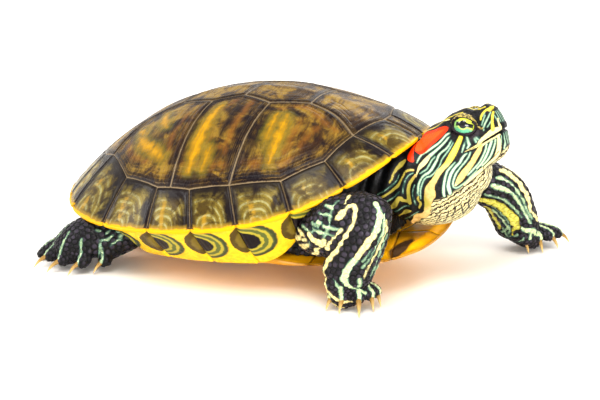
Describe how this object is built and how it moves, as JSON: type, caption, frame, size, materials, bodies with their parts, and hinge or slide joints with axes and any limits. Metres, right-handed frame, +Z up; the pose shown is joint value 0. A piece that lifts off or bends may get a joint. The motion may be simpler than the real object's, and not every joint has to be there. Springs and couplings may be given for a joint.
{
  "type": "red-eared slider turtle",
  "caption": "Still life-size model of a red-eared slider turtle standing with its head raised: domed carapace, yellow plastron, striped head and limbs, clawed feet.",
  "frame": {"origin": "on the floor under the middle of the whole standing animal", "axes": "+X towards the head along the shell's length, +Y to the animal's left, +Z up from the floor"},
  "size_m": [0.1861, 0.1376, 0.0704],
  "materials": {
    "skin": "matte",
    "carapace_horn": "satin",
    "plastron_horn": "satin",
    "eye": "gloss"
  },
  "bodies": {
    "root": {"carapace_vertebral_1": "carapace_horn", "carapace_vertebral_2": "carapace_horn", "carapace_vertebral_3": "carapace_horn", "carapace_vertebral_4": "carapace_horn", "carapace_vertebral_5": "carapace_horn", "carapace_costal_left_1": "carapace_horn", "carapace_costal_right_1": "carapace_horn", "carapace_costal_left_2": "carapace_horn", "carapace_costal_right_2": "carapace_horn", "carapace_costal_left_3": "carapace_horn", "carapace_costal_right_3": "carapace_horn", "carapace_costal_left_4": "carapace_horn", "carapace_costal_right_4": "carapace_horn", "carapace_nuchal": "carapace_horn", "carapace_marginals_front_left": "carapace_horn", "carapace_marginals_bridge_left": "carapace_horn", "carapace_marginals_rear_left": "carapace_horn", "carapace_marginals_front_right": "carapace_horn", "carapace_marginals_bridge_right": "carapace_horn", "carapace_marginals_rear_right": "carapace_horn", "plastron_gular_left": "plastron_horn", "plastron_gular_right": "plastron_horn", "plastron_humeral_left": "plastron_horn", "plastron_humeral_right": "plastron_horn", "plastron_pectoral_left": "plastron_horn", "plastron_pectoral_right": "plastron_horn", "plastron_abdominal_left": "plastron_horn", "plastron_abdominal_right": "plastron_horn", "plastron_femoral_left": "plastron_horn", "plastron_femoral_right": "plastron_horn", "plastron_anal_left": "plastron_horn", "plastron_anal_right": "plastron_horn", "head": "skin", "jaw": "skin", "eye_left": "eye", "eye_right": "eye", "neck_front": "skin", "neck_base": "skin", "upper_arm_right": "skin", "forearm_right": "skin", "forefoot_right": "skin", "upper_arm_left": "skin", "forearm_left": "skin", "forefoot_left": "skin", "thigh_right": "skin", "shank_right": "skin", "hindfoot_right": "skin", "thigh_left": "skin", "shank_left": "skin", "hindfoot_left": "skin", "tail_root": "skin", "tail_tip": "skin", "trunk": "skin"}
  },
  "joints": []
}
